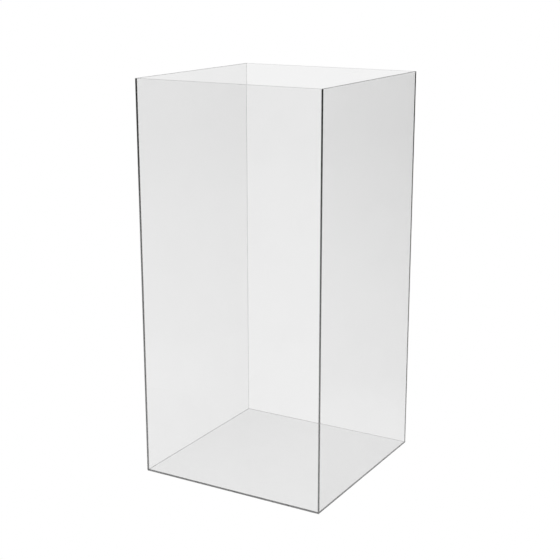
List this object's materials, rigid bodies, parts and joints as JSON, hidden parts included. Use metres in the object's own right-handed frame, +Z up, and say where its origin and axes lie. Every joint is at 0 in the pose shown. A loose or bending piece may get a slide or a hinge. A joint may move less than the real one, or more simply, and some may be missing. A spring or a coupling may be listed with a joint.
{
  "type": "acrylic display cube",
  "caption": "Tall open-topped display box of clear acrylic sheet with a bonded base, for standing exhibits in or inverting over them.",
  "frame": {"origin": "centre of the footprint, on the surface the cube stands on", "axes": "+Z up towards the open top, -Y the front, where a full-width panel shows; +X to the right"},
  "size_m": [0.4, 0.4, 0.8],
  "materials": {
    "clear_acrylic": "clear cast acrylic sheet, gloss faces, polished edges",
    "cured_adhesive": "clear cured acrylic adhesive, gloss"
  },
  "bodies": {
    "root": {"front_panel": "clear_acrylic", "back_panel": "clear_acrylic", "left_panel": "clear_acrylic", "right_panel": "clear_acrylic", "base_panel": "clear_acrylic", "bond_front_left": "cured_adhesive", "bond_front_right": "cured_adhesive", "bond_back_left": "cured_adhesive", "bond_back_right": "cured_adhesive", "bond_base_front": "cured_adhesive", "bond_base_back": "cured_adhesive", "bond_base_left": "cured_adhesive", "bond_base_right": "cured_adhesive"}
  },
  "joints": []
}
